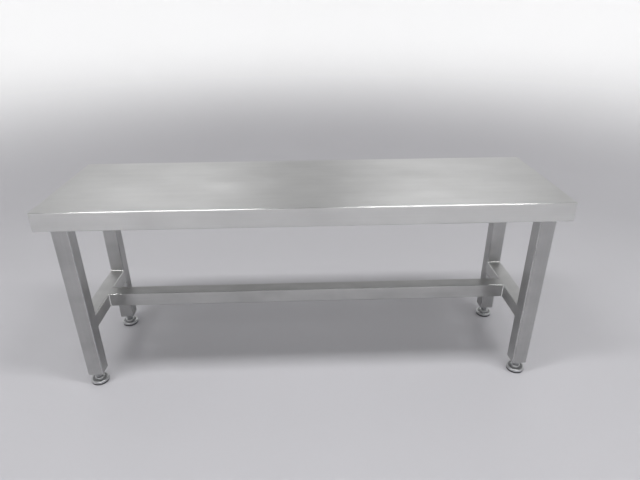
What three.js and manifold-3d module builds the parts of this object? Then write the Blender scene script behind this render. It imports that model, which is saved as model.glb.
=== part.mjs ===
// A low stainless steel work table: a folded sheet top on two welded end frames, tied together
// by one low stretcher, and standing on four levelling feet.
//
// Millimetres. +X runs along the table's length, +Y to its back, +Z up.
// The origin is on the floor, under the middle of the top.

import * as THREE from 'three';
import { RoundedBoxGeometry } from 'three/addons/geometries/RoundedBoxGeometry.js';
import { mergeVertices } from 'three/addons/utils/BufferGeometryUtils.js';
import Module from 'manifold-3d';

const wasm = await Module();
wasm.setup();

// ---------------------------------------------------------------------------------------------
// Driving dimensions
// ---------------------------------------------------------------------------------------------

const LENGTH = 1200;             // top, along X
const DEPTH = 350;               // top, along Y
const HEIGHT = 500;              // floor to the top's surface

const SHEET = 1.5;               // thickness of the top's sheet
const APRON = 45;                // height of the top's folded edge
const FOLD_RADIUS = 2.5;         // outside radius of the top's folds and ground corners
const LIP_TO_LEG = 10;           // room between the lip's inner edge and the legs

const TUBE = 38;                 // side of the square tube
const TUBE_WALL = 1.5;
const TUBE_CORNER = 3;           // outside corner radius of every tube
const LEG_INSET = 25;            // top's faces to the legs' outer faces
const LEG_GROUND = 34;           // floor to the legs' lower ends
const LOW_RAIL_CENTRE = 177.5;   // floor to the middle of the low rails and the stretcher
const HIGH_RAIL_HEIGHT = 25;     // the high end rails are a flatter tube

const HAT_HEIGHT = 12;           // hat sections that stiffen the top
const HAT_WALL = 1.5;
const HAT_FLANGE = 12;
const STIFFENER_CROWN = 40;
const STIFFENER_OFFSET = 80;     // table's middle to each stiffener's middle
const STIFFENER_END_GAP = 2;     // stiffener's end to the mounting channel's flange
const CHANNEL_TO_LIP = 2;        // mounting channel's end to the lip's inner edge

const BOLT = 8;                  // diameter of the frame bolts
const BOLT_OFFSET = 60;          // table's middle to each frame bolt
const BOLT_LENGTH = 35;
const BOLT_HEAD = 5.3;
const BOLT_HEX = 13;             // across flats, bolt heads and weld nuts
const NUT_HEIGHT = 6.5;
const WASHER_RADIUS = 8;
const WASHER_THICKNESS = 1.6;

const STUD = 12;                 // diameter of the levelling feet's thread
const STUD_THREAD = 50;          // length of that thread
const STUD_HEX = 17;             // across flats
const STUD_HEX_HEIGHT = 7;
const STUD_NECK_STEP = 1;        // the neck is this much smaller than the thread, in radius
const STUD_FLANGE_STEP = 3;      // the flange is this much larger than the neck, in radius
const STUD_FLANGE = 2;
const PLUG_HEIGHT = 20;
const PLUG_SET_IN = 1;           // leg's lower end to the plug's lower face

const FOOT = 45;                 // diameter of the foot's cup
const CUP_RIM_TOP = 11.3;        // floor to the top of the cup's rim
const CUP_GROOVE = 10.2;         // floor to the bottom of the groove round the hub
const CUP_HUB_TOP = 17;          // floor to the top of the cup's hub
const CUP_RIM_WALL = 2;
const PAD_FLANGE = 3;            // thickness of rubber under the cup's rim
const PAD_SPIGOT = 3.7;          // height of rubber inside the cup
const PAD_STEP = 1;              // the pad's flange is this much smaller than the rim, in radius

const SEAT = 0.3;                // gap between pieces that seat on each other or are welded
const RUNNING = 0.4;             // radial clearance of turning and threaded fits
const HOLE = 0.5;                // radial clearance of bolt holes

const ARC_STEPS = 2;             // half the number of steps in a tube's corner
const FOLD_STEPS = 3;            // steps across each fold of the top
const ROUND_SIDES = 24;          // sides of a turned piece

// ---------------------------------------------------------------------------------------------
// Sizes and places that follow from them
// ---------------------------------------------------------------------------------------------

const LEG_X = LENGTH / 2 - LEG_INSET - TUBE / 2;
const LEG_Y = DEPTH / 2 - LEG_INSET - TUBE / 2;
const LIP = LEG_INSET - LIP_TO_LEG;
const SHEET_UNDERSIDE = HEIGHT - SHEET;
const HAT_TOP = SHEET_UNDERSIDE - SEAT;
const HAT_BOTTOM = HAT_TOP - HAT_HEIGHT;
const FRAME_TOP = HAT_BOTTOM - SEAT;
const HIGH_RAIL_BOTTOM = FRAME_TOP - HIGH_RAIL_HEIGHT;
const CHANNEL_LENGTH = DEPTH - 2 * (LIP + CHANNEL_TO_LIP);
const CHANNEL_HALF_WIDTH = TUBE / 2 + HAT_FLANGE;
const STIFFENER_LENGTH = 2 * (LEG_X - CHANNEL_HALF_WIDTH - STIFFENER_END_GAP);
const END_RAIL_LENGTH = 2 * (LEG_Y - TUBE / 2 - SEAT);
const STRETCHER_LENGTH = 2 * (LEG_X - TUBE / 2 - SEAT);
const WASHER_TOP = HIGH_RAIL_BOTTOM - SEAT;
const BOLT_SEAT = WASHER_TOP - WASHER_THICKNESS - SEAT;
const NUT_BOTTOM = HAT_BOTTOM + HAT_WALL + SEAT;
const NECK_RADIUS = STUD / 2 - STUD_NECK_STEP;
const STUD_FLANGE_RADIUS = NECK_RADIUS + STUD_FLANGE_STEP;
const PAD_TOP = PAD_FLANGE + PAD_SPIGOT;
const CUP_BOTTOM = PAD_FLANGE + SEAT;
const CUP_CEILING = PAD_TOP + SEAT;
const STUD_FLANGE_TOP = CUP_CEILING + STUD_FLANGE;
const STUD_HEX_BOTTOM = CUP_HUB_TOP + SEAT;
const STUD_HEX_TOP = STUD_HEX_BOTTOM + STUD_HEX_HEIGHT;

const ENDS = [['left', -1], ['right', 1]];
const SIDES = [['front', -1], ['back', 1]];

// ---------------------------------------------------------------------------------------------
// Materials
// ---------------------------------------------------------------------------------------------

const brushedStainless = new THREE.MeshStandardMaterial({ color: 0xb2b3b3, roughness: 0.38, metalness: 1 });
const satinTube = new THREE.MeshStandardMaterial({ color: 0xa4a5a5, roughness: 0.42, metalness: 1 });
const millSteel = new THREE.MeshStandardMaterial({ color: 0x9a9c9d, roughness: 0.5, metalness: 1 });
const brightStainless = new THREE.MeshStandardMaterial({ color: 0xc6c8c9, roughness: 0.2, metalness: 1 });
const blackRubber = new THREE.MeshStandardMaterial({ color: 0x1b1b1c, roughness: 0.85, metalness: 0 });

// ---------------------------------------------------------------------------------------------
// Joining and cutting
// ---------------------------------------------------------------------------------------------

function solidFrom(geometry) {
  const bare = geometry.clone();
  bare.deleteAttribute('normal');
  bare.deleteAttribute('uv');
  const merged = mergeVertices(bare, 1e-4);
  const corners = merged.index.array;
  const triangles = [];
  for (let i = 0; i < corners.length; i += 3) {
    const [a, b, c] = [corners[i], corners[i + 1], corners[i + 2]];
    if (a !== b && b !== c && c !== a) triangles.push(a, b, c);
  }
  const mesh = new wasm.Mesh({
    numProp: 3,
    vertProperties: new Float32Array(merged.attributes.position.array),
    triVerts: new Uint32Array(triangles),
  });
  return new wasm.Manifold(mesh);
}

function geometryFrom(solid) {
  const mesh = solid.getMesh();
  const geometry = new THREE.BufferGeometry();
  geometry.setAttribute('position', new THREE.BufferAttribute(mesh.vertProperties, 3));
  geometry.setIndex(new THREE.BufferAttribute(mesh.triVerts, 1));
  geometry.computeVertexNormals();
  return geometry;
}

function join(first, second) {
  return geometryFrom(solidFrom(first).add(solidFrom(second)));
}

function cut(body, tools) {
  let solid = solidFrom(body);
  for (const tool of tools) solid = solid.subtract(solidFrom(tool));
  return geometryFrom(solid);
}

// ---------------------------------------------------------------------------------------------
// Shapes that repeat
// ---------------------------------------------------------------------------------------------

function traceRoundedRectangle(path, width, height, radius) {
  const x = width / 2 - radius;
  const y = height / 2 - radius;
  path.absarc(x, -y, radius, -Math.PI / 2, 0);
  path.absarc(x, y, radius, 0, Math.PI / 2);
  path.absarc(-x, y, radius, Math.PI / 2, Math.PI);
  path.absarc(-x, -y, radius, Math.PI, Math.PI * 1.5);
  path.closePath();
  return path;
}

function extrude(shape, length, curveSegments) {
  return new THREE.ExtrudeGeometry(shape, { depth: length, curveSegments, bevelEnabled: false });
}

// A tube standing on z = 0, with its section's width along X and height along Y.
function tubeGeometry(width, height, length) {
  const section = traceRoundedRectangle(new THREE.Shape(), width, height, TUBE_CORNER);
  const bore = traceRoundedRectangle(new THREE.Path(), width - 2 * TUBE_WALL,
    height - 2 * TUBE_WALL, TUBE_CORNER - TUBE_WALL);
  section.holes.push(bore);
  return extrude(section, length, ARC_STEPS);
}

function regularOutline(sides, radius) {
  return Array.from({ length: sides }, (_, corner) => {
    const angle = corner * 2 * Math.PI / sides;
    return new THREE.Vector2(radius * Math.cos(angle), radius * Math.sin(angle));
  });
}

// A plate of the given outline with a round bore through it, standing on z = 0.
function boredPlate(shape, boreRadius, height) {
  shape.holes.push(new THREE.Path(regularOutline(ROUND_SIDES, boreRadius)));
  return extrude(shape, height, ARC_STEPS);
}

// A hat section centred on its length, which runs along Y. Its crown is down, at z = 0.
function hatGeometry(crown, length) {
  const outer = crown / 2;
  const inner = outer - HAT_WALL;
  const edge = outer + HAT_FLANGE;
  const flange = HAT_HEIGHT - HAT_WALL;
  const half = [[outer, 0], [outer, flange], [edge, flange], [edge, HAT_HEIGHT],
    [inner, HAT_HEIGHT], [inner, HAT_WALL]];
  const outline = half.map(([x, y]) => new THREE.Vector2(x, y));
  const mirrored = half.map(([x, y]) => new THREE.Vector2(-x, y)).reverse();
  const geometry = extrude(new THREE.Shape([...outline, ...mirrored]), length, 1);
  geometry.translate(0, 0, -length / 2);
  geometry.rotateX(Math.PI / 2);
  return geometry;
}

function turned(profile) {
  const points = profile.map(([radius, height]) => new THREE.Vector2(radius, height));
  const geometry = new THREE.LatheGeometry(points, ROUND_SIDES);
  geometry.rotateX(Math.PI / 2);
  return geometry;
}

function hexGeometry(acrossFlats, height) {
  return extrude(new THREE.Shape(regularOutline(6, acrossFlats / Math.sqrt(3))), height, 1);
}

function roundTool(radius, bottom, top) {
  const geometry = new THREE.CylinderGeometry(radius, radius, top - bottom, ROUND_SIDES);
  geometry.rotateX(Math.PI / 2);
  geometry.translate(0, 0, (top + bottom) / 2);
  return geometry;
}

function boltHoles(bottom, top) {
  return SIDES.map(([, side]) => {
    const tool = roundTool(BOLT / 2 + HOLE, bottom, top);
    tool.translate(0, side * BOLT_OFFSET, 0);
    return tool;
  });
}

function named(name, geometry, material, x, y, z) {
  const mesh = new THREE.Mesh(geometry, material);
  mesh.name = name;
  mesh.position.set(x, y, z);
  return mesh;
}

// ---------------------------------------------------------------------------------------------
// The top and what stiffens it
// ---------------------------------------------------------------------------------------------

// The sheet is folded down on four sides and back in under them, with the corners welded and
// ground, so the shell is a rounded block less its inside and the opening between the lips.
function topGeometry() {
  const block = new RoundedBoxGeometry(LENGTH, DEPTH, APRON, FOLD_STEPS, FOLD_RADIUS);
  const inside = new RoundedBoxGeometry(LENGTH - 2 * SHEET, DEPTH - 2 * SHEET, APRON - 2 * SHEET,
    FOLD_STEPS, FOLD_RADIUS - SHEET);
  const opening = new THREE.BoxGeometry(LENGTH - 2 * LIP, DEPTH - 2 * LIP, APRON);
  opening.translate(0, 0, -APRON / 2);
  return cut(block, [inside, opening]);
}

function addTop(table) {
  table.add(named('table_top', topGeometry(), brushedStainless, 0, 0, HEIGHT - APRON / 2));
  for (const [side, sign] of SIDES) {
    const stiffener = named(`stiffener_${side}`, hatGeometry(STIFFENER_CROWN, STIFFENER_LENGTH),
      millSteel, 0, sign * STIFFENER_OFFSET, HAT_BOTTOM);
    stiffener.rotation.z = Math.PI / 2;
    table.add(stiffener);
  }
  for (const [end, sign] of ENDS) {
    const channel = cut(hatGeometry(TUBE, CHANNEL_LENGTH), boltHoles(-SEAT, HAT_WALL + SEAT));
    table.add(named(`mounting_channel_${end}`, channel, millSteel, sign * LEG_X, 0, HAT_BOTTOM));
  }
}

// ---------------------------------------------------------------------------------------------
// The end frames and the stretcher
// ---------------------------------------------------------------------------------------------

function addLegs(frame) {
  for (const [side, ySign] of SIDES) {
    for (const [end, xSign] of ENDS) {
      frame.add(named(`leg_${side}_${end}`, tubeGeometry(TUBE, TUBE, FRAME_TOP - LEG_GROUND),
        satinTube, xSign * LEG_X, ySign * LEG_Y, LEG_GROUND));
    }
  }
}

// A tube turned to run along Y, centred on its length.
function endRailGeometry(height) {
  const geometry = tubeGeometry(TUBE, height, END_RAIL_LENGTH);
  geometry.translate(0, 0, -END_RAIL_LENGTH / 2);
  geometry.rotateX(Math.PI / 2);
  return geometry;
}

function addRails(frame) {
  for (const [end, sign] of ENDS) {
    const reach = HIGH_RAIL_HEIGHT / 2 + SEAT;
    const highRail = cut(endRailGeometry(HIGH_RAIL_HEIGHT), boltHoles(-reach, reach));
    frame.add(named(`high_rail_${end}`, highRail, satinTube, sign * LEG_X, 0,
      HIGH_RAIL_BOTTOM + HIGH_RAIL_HEIGHT / 2));
    frame.add(named(`low_rail_${end}`, endRailGeometry(TUBE), satinTube, sign * LEG_X, 0,
      LOW_RAIL_CENTRE));
  }
  const stretcher = tubeGeometry(TUBE, TUBE, STRETCHER_LENGTH);
  stretcher.translate(0, 0, -STRETCHER_LENGTH / 2);
  stretcher.rotateY(Math.PI / 2);
  frame.add(named('stretcher', stretcher, satinTube, 0, 0, LOW_RAIL_CENTRE));
}

// ---------------------------------------------------------------------------------------------
// Bolts that hold the top to the end frames
// ---------------------------------------------------------------------------------------------

function boltGeometry() {
  const tip = 1;
  const shank = turned([[0, -BOLT_HEAD / 2], [BOLT / 2, -BOLT_HEAD / 2],
    [BOLT / 2, BOLT_LENGTH - tip], [BOLT / 2 - tip, BOLT_LENGTH], [0, BOLT_LENGTH]]);
  const head = hexGeometry(BOLT_HEX, BOLT_HEAD);
  head.translate(0, 0, -BOLT_HEAD);
  return join(head, shank);
}


function nutGeometry() {
  const hexagon = new THREE.Shape(regularOutline(6, BOLT_HEX / Math.sqrt(3)));
  return boredPlate(hexagon, BOLT / 2 + SEAT, NUT_HEIGHT);
}

function washerGeometry() {
  const disc = new THREE.Shape(regularOutline(ROUND_SIDES, WASHER_RADIUS));
  return boredPlate(disc, BOLT / 2 + HOLE, WASHER_THICKNESS);
}

function addFasteners(table) {
  for (const [side, ySign] of SIDES) {
    for (const [end, xSign] of ENDS) {
      const x = xSign * LEG_X;
      const y = ySign * BOLT_OFFSET;
      table.add(named(`frame_bolt_${side}_${end}`, boltGeometry(), brightStainless, x, y, BOLT_SEAT));
      table.add(named(`washer_${side}_${end}`, washerGeometry(), brightStainless, x, y,
        WASHER_TOP - WASHER_THICKNESS));
      table.add(named(`weld_nut_${side}_${end}`, nutGeometry(), millSteel, x, y, NUT_BOTTOM));
    }
  }
}

// ---------------------------------------------------------------------------------------------
// Levelling feet: a threaded plug in the leg, a stud, a cup that swivels on it, a rubber pad
// ---------------------------------------------------------------------------------------------

function plugGeometry() {
  const side = TUBE - 2 * (TUBE_WALL + SEAT);
  const section = traceRoundedRectangle(new THREE.Shape(), side, side, TUBE_CORNER - TUBE_WALL);
  return boredPlate(section, STUD / 2 + RUNNING, PLUG_HEIGHT);
}

function studGeometry() {
  const tip = 1;
  const threadTop = STUD_HEX_TOP + STUD_THREAD;
  const shank = turned([
    [0, CUP_CEILING],
    [STUD_FLANGE_RADIUS, CUP_CEILING],
    [STUD_FLANGE_RADIUS, STUD_FLANGE_TOP],
    [NECK_RADIUS, STUD_FLANGE_TOP],
    [NECK_RADIUS, STUD_HEX_TOP + tip],
    [STUD / 2, STUD_HEX_TOP + 2 * tip],
    [STUD / 2, threadTop - tip],
    [STUD / 2 - tip, threadTop],
    [0, threadTop],
  ]);
  const hex = hexGeometry(STUD_HEX, STUD_HEX_HEIGHT);
  hex.translate(0, 0, STUD_HEX_BOTTOM);
  return join(shank, hex);
}

// The cup's rim is rounded over, a groove runs round the hub, and the hub is domed at its edge.
function cupGeometry() {
  const rim = FOOT / 2;
  const hub = STUD_HEX / Math.sqrt(3) + 2.5;
  const pocket = STUD_FLANGE_RADIUS + RUNNING;
  const bore = NECK_RADIUS + RUNNING;
  const seat = STUD_FLANGE_TOP + SEAT;
  const padWall = rim - CUP_RIM_WALL;
  return turned([
    [padWall, CUP_BOTTOM],
    [rim - 0.5, CUP_BOTTOM],
    [rim, CUP_BOTTOM + 0.7],
    [rim, CUP_RIM_TOP - 2.5],
    [rim - 0.7, CUP_RIM_TOP - 0.8],
    [rim - 2.3, CUP_RIM_TOP],
    [rim - 3.8, CUP_RIM_TOP],
    [rim - 5, CUP_GROOVE],
    [hub + 1.5, CUP_GROOVE],
    [hub + 0.4, CUP_GROOVE + 1],
    [hub, CUP_HUB_TOP - 3],
    [hub - 1.2, CUP_HUB_TOP - 0.8],
    [hub - 2.6, CUP_HUB_TOP],
    [bore, CUP_HUB_TOP],
    [bore, seat],
    [pocket, seat],
    [pocket, CUP_CEILING],
    [padWall, CUP_CEILING],
    [padWall, CUP_BOTTOM],
  ]);
}

function padGeometry() {
  const flange = FOOT / 2 - PAD_STEP;
  const spigot = FOOT / 2 - CUP_RIM_WALL - SEAT;
  return turned([
    [0, 0],
    [flange - 1, 0],
    [flange, 1],
    [flange, PAD_FLANGE],
    [spigot, PAD_FLANGE],
    [spigot, PAD_TOP],
    [0, PAD_TOP],
  ]);
}

function addFeet(table) {
  for (const [side, ySign] of SIDES) {
    for (const [end, xSign] of ENDS) {
      const x = xSign * LEG_X;
      const y = ySign * LEG_Y;
      table.add(named(`leg_plug_${side}_${end}`, plugGeometry(), millSteel, x, y,
        LEG_GROUND + PLUG_SET_IN));
      table.add(named(`foot_stud_${side}_${end}`, studGeometry(), brightStainless, x, y, 0));
      table.add(named(`foot_cup_${side}_${end}`, cupGeometry(), brightStainless, x, y, 0));
      table.add(named(`foot_pad_${side}_${end}`, padGeometry(), blackRubber, x, y, 0));
    }
  }
}

// ---------------------------------------------------------------------------------------------
// The whole table
// ---------------------------------------------------------------------------------------------

const table = new THREE.Group();
addTop(table);

const frame = new THREE.Group();
addLegs(frame);
addRails(frame);
table.add(frame);

addFasteners(table);
addFeet(table);

export default table;
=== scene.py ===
"""Looks for the low stainless work table: folded top, ground tubes, weld beads, levelling feet.

Sizes are in metres, in the frame's own axes: X along the table, Y to its back, Z up.
"""

import math

import bmesh
import bpy
from bpy.props import FloatProperty, FloatVectorProperty, IntProperty, PointerProperty
from mathutils import Matrix, Vector


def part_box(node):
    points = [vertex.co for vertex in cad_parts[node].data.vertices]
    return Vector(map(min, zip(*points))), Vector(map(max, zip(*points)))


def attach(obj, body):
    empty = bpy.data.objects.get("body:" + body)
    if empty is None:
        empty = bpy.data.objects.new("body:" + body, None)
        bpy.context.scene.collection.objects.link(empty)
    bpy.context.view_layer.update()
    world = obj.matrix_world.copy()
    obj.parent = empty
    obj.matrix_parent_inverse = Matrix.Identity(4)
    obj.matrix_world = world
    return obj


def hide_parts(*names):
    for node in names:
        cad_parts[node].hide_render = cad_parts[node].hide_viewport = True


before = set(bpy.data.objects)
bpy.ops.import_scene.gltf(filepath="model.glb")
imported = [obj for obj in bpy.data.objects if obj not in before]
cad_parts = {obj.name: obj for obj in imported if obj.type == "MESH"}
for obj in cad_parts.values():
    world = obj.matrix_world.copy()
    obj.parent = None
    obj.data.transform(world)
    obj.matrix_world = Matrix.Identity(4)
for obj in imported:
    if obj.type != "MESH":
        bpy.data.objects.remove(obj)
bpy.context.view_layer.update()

bl_info = {
    "name": "Stainless work table",
    "version": (1, 0, 0),
    "blender": (4, 5, 0),
    "location": "View3D > Sidebar > Work table",
    "description": "Builds the visible pieces of a low stainless work table round its frame",
    "category": "Object",
}

MM = 0.001
FULL_TURN = 2 * math.pi
X_AXIS = Vector((1, 0, 0))
Y_AXIS = Vector((0, 1, 0))
Z_AXIS = Vector((0, 0, 1))
GRAIN = "grain"
FILLET = "fillet"
# Marks the groove of a foot's cup, which painted shade darkens
GROOVE_SHADE = "groove_shade"
BEND = "bend"
SIDES = ("front", "back")
ENDS = ("left", "right")
CORNERS = [f"{side}_{end}" for side in SIDES for end in ENDS]
BOLT_HOLE = 4.5 * MM
SAME_LEVEL = 0.01 * MM
PAD_SHOWS = 1.2  # millimetres that a foot's rubber shows above its CAD flange, under the cup


# ---------------------------------------------------------------------------------------------
# Settings
# ---------------------------------------------------------------------------------------------


def length(name, description, default, low=0.0, high=1.0):
    return FloatProperty(name=name, description=description, default=default, min=low, max=high,
                         subtype="DISTANCE", unit="LENGTH", precision=5)


def share(name, description, default):
    return FloatProperty(name=name, description=description, default=default, min=0.0, max=1.0,
                         subtype="FACTOR")


def colour(name, description, default):
    return FloatVectorProperty(name=name, description=description, default=default, size=3,
                               min=0.0, max=1.0, subtype="COLOR")


class TopSettings(bpy.types.PropertyGroup):
    sheet: length("Sheet", "Thickness of the top's sheet", 1.5 * MM)
    fold: length("Fold radius", "Outside radius of the folds", 2.5 * MM)
    lip: length("Lip", "Width of the lip folded in under the apron", 15 * MM)


class SectionSettings(bpy.types.PropertyGroup):
    wall: length("Wall", "Thickness of the hat sections", 1.5 * MM)
    flange: length("Flange", "Width of each flange of a hat section", 12 * MM)
    bend: length("Bend radius", "Outside radius of the hat sections' bends", 2.2 * MM)
    spot_radius: length("Spot weld", "Radius of a spot weld's mark", 3 * MM)
    spot_pitch: length("Spot pitch", "Distance from one spot weld to the next", 82 * MM)


class TubeSettings(bpy.types.PropertyGroup):
    wall: length("Wall", "Thickness of the tube's wall", 1.5 * MM)
    corner: length("Corner radius", "Outside radius of the tube's corners", 3 * MM)


class WeldSettings(bpy.types.PropertyGroup):
    bead: length("Bead", "Radius of a fillet bead", 2.1 * MM)
    ripple: length("Ripple pitch", "Distance from one ripple of the bead to the next", 1.7 * MM)
    ripple_depth: share("Ripple depth", "Depth of the ripples as a share of the radius", 0.09)
    seam: length("Ground seam", "Width of a butt seam ground flush", 3.2 * MM)
    seam_proud: length("Seam height", "How far a ground seam stands proud", 0.05 * MM)


class FootSettings(bpy.types.PropertyGroup):
    pitch: length("Thread pitch", "Pitch of the levelling stud's thread", 1.75 * MM)
    thread_depth: length("Thread depth", "Crest to root of the stud's thread", 0.95 * MM)
    hex_height: length("Hexagon", "Height of the stud's hexagon", 7 * MM)
    hex_flats: length("Across flats", "Width of the stud's hexagon", 17 * MM)
    round_steps: IntProperty(name="Steps", description="Steps round a turned piece", default=72,
                             min=12, max=256)


class FinishSettings(bpy.types.PropertyGroup):
    # The sheet and the tube are one steel: the sheet's lighter colour is painted light, the tube's
    # darker colour painted shade
    sheet: colour("Sheet", "Brushed sheet of the top", (0.62, 0.62, 0.617))
    tube: colour("Tube", "Brushed tube of the frame", (0.47, 0.47, 0.467))
    section: colour("Sections", "Dull folded sections and plugs", (0.50, 0.505, 0.51))
    bright: colour("Bright metal", "Turned cups of the feet", (0.50, 0.505, 0.51))
    plated: colour("Plated steel", "Studs, bolts and washers", (0.40, 0.405, 0.415))
    weld: colour("Welds", "Beads and ground seams", (0.76, 0.76, 0.75))
    rubber: colour("Rubber", "Pads under the feet", (0.018, 0.018, 0.019))


class StageSettings(bpy.types.PropertyGroup):
    floor: colour("Floor", "Pale floor", (0.53, 0.525, 0.55))
    wall: colour("Wall", "Pale wall all round", (0.86, 0.86, 0.86))
    radius: length("Stage radius", "Middle of the floor to the curved wall", 2.4, 0.5, 20)
    wall_height: length("Wall height", "Height of the curved wall", 1.8, 0.1, 20)
    sweep: length("Sweep", "Radius of the bend from floor to wall", 0.7, 0.05, 5)
    side_light: FloatProperty(name="Side light", default=0.42, min=0, max=20,
                              description="Strength of the soft light from low down all round")
    top_light: FloatProperty(name="Top light", default=0.2, min=0, max=20,
                             description="Strength of the soft light from overhead")
    wall_light: FloatProperty(name="Wall light", default=0.42, min=0, max=20,
                              description="Strength of the light that comes from the wall")
    front_share: share("Front light", "Light from in front, as a share of that from behind", 0.62)
    lamp: FloatProperty(name="Lamps", description="Power of each ceiling lamp",
                        default=23, min=0, max=2000, subtype="POWER")
    front_lamp: FloatProperty(name="Front lamp", description="Power of the weak lamp in front",
                              default=2, min=0, max=2000, subtype="POWER")
    lens: FloatProperty(name="Lens", description="Focal length on a 36 mm wide sensor",
                        default=28.22, min=1, max=500, subtype="DISTANCE_CAMERA")


class WorkTableSettings(bpy.types.PropertyGroup):
    top: PointerProperty(type=TopSettings)
    sections: PointerProperty(type=SectionSettings)
    tubes: PointerProperty(type=TubeSettings)
    welds: PointerProperty(type=WeldSettings)
    feet: PointerProperty(type=FootSettings)
    finish: PointerProperty(type=FinishSettings)
    stage: PointerProperty(type=StageSettings)


# ---------------------------------------------------------------------------------------------
# Materials
# ---------------------------------------------------------------------------------------------


class Shading:
    """A material's node tree, with short calls for the nodes used here."""

    def __init__(self, name):
        self.material = bpy.data.materials.get(name) or bpy.data.materials.new(name)
        self.material.use_nodes = True
        self.nodes = self.material.node_tree.nodes
        self.links = self.material.node_tree.links
        self.nodes.clear()
        self.shader = self.nodes.new("ShaderNodeBsdfPrincipled")
        output = self.nodes.new("ShaderNodeOutputMaterial")
        self.links.new(self.shader.outputs["BSDF"], output.inputs["Surface"])

    def link(self, source, target):
        self.links.new(source, target)

    def object_coordinates(self):
        return self.nodes.new("ShaderNodeTexCoord").outputs["Object"]

    def grain_coordinates(self):
        node = self.nodes.new("ShaderNodeUVMap")
        node.uv_map = GRAIN
        return node.outputs["UV"]

    def marked(self, name):
        """The share, 0 to 1, that the piece's own attribute gives."""
        node = self.nodes.new("ShaderNodeAttribute")
        node.attribute_name = name
        return node.outputs["Fac"]

    def noise(self, vector, scale, detail=2.0, stretch=(1, 1, 1), offset=(0, 0, 0)):
        mapping = self.nodes.new("ShaderNodeMapping")
        mapping.inputs["Location"].default_value = offset
        mapping.inputs["Scale"].default_value = stretch
        self.link(vector, mapping.inputs["Vector"])
        node = self.nodes.new("ShaderNodeTexNoise")
        node.inputs["Scale"].default_value = scale
        node.inputs["Detail"].default_value = detail
        node.inputs["Roughness"].default_value = 0.55
        self.link(mapping.outputs["Vector"], node.inputs["Vector"])
        return node.outputs["Fac"]

    def math(self, operation, first, second, third=None, clamp=False):
        node = self.nodes.new("ShaderNodeMath")
        node.operation = operation
        node.use_clamp = clamp
        for socket, value in zip(node.inputs, (first, second, third)):
            if value is None:
                continue
            if isinstance(value, (int, float)):
                socket.default_value = value
            else:
                self.link(value, socket)
        return node.outputs["Value"]

    def spread(self, value, amount, base=0.0):
        """base plus amount times how far value lies from one half."""
        return self.math("MULTIPLY_ADD", self.math("SUBTRACT", value, 0.5), amount, base)

    def window(self, value, low, high):
        """0 below low, 1 above high, smooth between."""
        node = self.nodes.new("ShaderNodeMapRange")
        node.interpolation_type = "SMOOTHSTEP"
        node.inputs["From Min"].default_value = low
        node.inputs["From Max"].default_value = high
        self.link(value, node.inputs["Value"])
        return node.outputs["Result"]

    def tinted(self, base, amount):
        """The base colour made lighter or darker by amount, which is about 1."""
        node = self.nodes.new("ShaderNodeVectorMath")
        node.operation = "SCALE"
        node.inputs[0].default_value = base
        self.link(amount, node.inputs["Scale"])
        return node.outputs["Vector"]

    def along(self, place, axis):
        node = self.nodes.new("ShaderNodeSeparateXYZ")
        self.link(place, node.inputs["Vector"])
        return node.outputs[axis]

    def mixed(self, first, second, amount):
        node = self.nodes.new("ShaderNodeMix")
        node.data_type = "RGBA"
        sockets = {socket.identifier: socket for socket in (*node.inputs, *node.outputs)}
        self.link(amount, sockets["Factor_Float"])
        self.link(first, sockets["A_Color"])
        self.link(second, sockets["B_Color"])
        return sockets["Result_Color"]

    def bump(self, height, distance, strength=1.0, under=None):
        node = self.nodes.new("ShaderNodeBump")
        node.inputs["Distance"].default_value = distance
        node.inputs["Strength"].default_value = strength
        self.link(height, node.inputs["Height"])
        if under is not None:
            self.link(under, node.inputs["Normal"])
        return node.outputs["Normal"]

    def metal(self, anisotropy=0.0):
        self.shader.inputs["Metallic"].default_value = 1.0
        if anisotropy:
            tangent = self.nodes.new("ShaderNodeTangent")
            tangent.direction_type = "UV_MAP"
            tangent.uv_map = GRAIN
            self.link(tangent.outputs["Tangent"], self.shader.inputs["Tangent"])
            self.shader.inputs["Anisotropic"].default_value = anisotropy
            self.shader.inputs["Anisotropic Rotation"].default_value = 0.25

    def surface(self, base, roughness, normal):
        self.link(base, self.shader.inputs["Base Color"])
        self.link(roughness, self.shader.inputs["Roughness"])
        self.link(normal, self.shader.inputs["Normal"])
        return self.material


def brushed_steel(name, base, roughness, streaks=1.0, clouds=0.25):
    """Long fine scratches along the grain, with cloudy wipe marks over them."""
    shading = Shading(name)
    grain = shading.grain_coordinates()
    place = shading.object_coordinates()
    hair = shading.noise(grain, 1.0, 3.0, (30, 4200, 1))
    streak = shading.noise(grain, 1.0, 3.0, (3.5, 420, 1), (3.1, 7.7, 0))
    band = shading.noise(grain, 1.0, 2.0, (1.3, 60, 1), (9.2, 1.4, 0))
    cloud = shading.noise(place, 7.0, 3.0, (1, 1.8, 1.8))
    smear = shading.window(shading.noise(place, 3.2, 4.0, (1, 2.6, 2.6), (4, 2, 7)), 0.5, 0.72)

    tone = shading.spread(streak, 0.10 * streaks, 1.0)
    tone = shading.math("ADD", tone, shading.spread(band, 0.07 * streaks))
    tone = shading.math("ADD", tone, shading.spread(hair, 0.10 * streaks))
    tone = shading.math("ADD", tone, shading.spread(cloud, clouds))
    bend = shading.marked(BEND)
    # Painted highlight: the bends' colour is made lighter; their lower roughness further down is
    # polish from wear
    tone = shading.math("MULTIPLY_ADD", bend, 0.10, tone)
    rough = shading.spread(streak, 0.10 * streaks, roughness)
    rough = shading.math("ADD", rough, shading.spread(hair, 0.10 * streaks))
    rough = shading.math("ADD", rough, shading.spread(cloud, 0.05))
    rough = shading.math("MULTIPLY_ADD", smear, 0.03, rough)
    rough = shading.math("MULTIPLY_ADD", bend, -0.09, rough, clamp=True)
    waves = shading.bump(shading.noise(place, 5.0, 1.0), 0.12 * MM)
    scratches = shading.bump(hair, 0.02 * MM, 0.5, waves)
    shading.metal(anisotropy=0.9)
    return shading.surface(shading.tinted(base, tone), rough, scratches)


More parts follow.
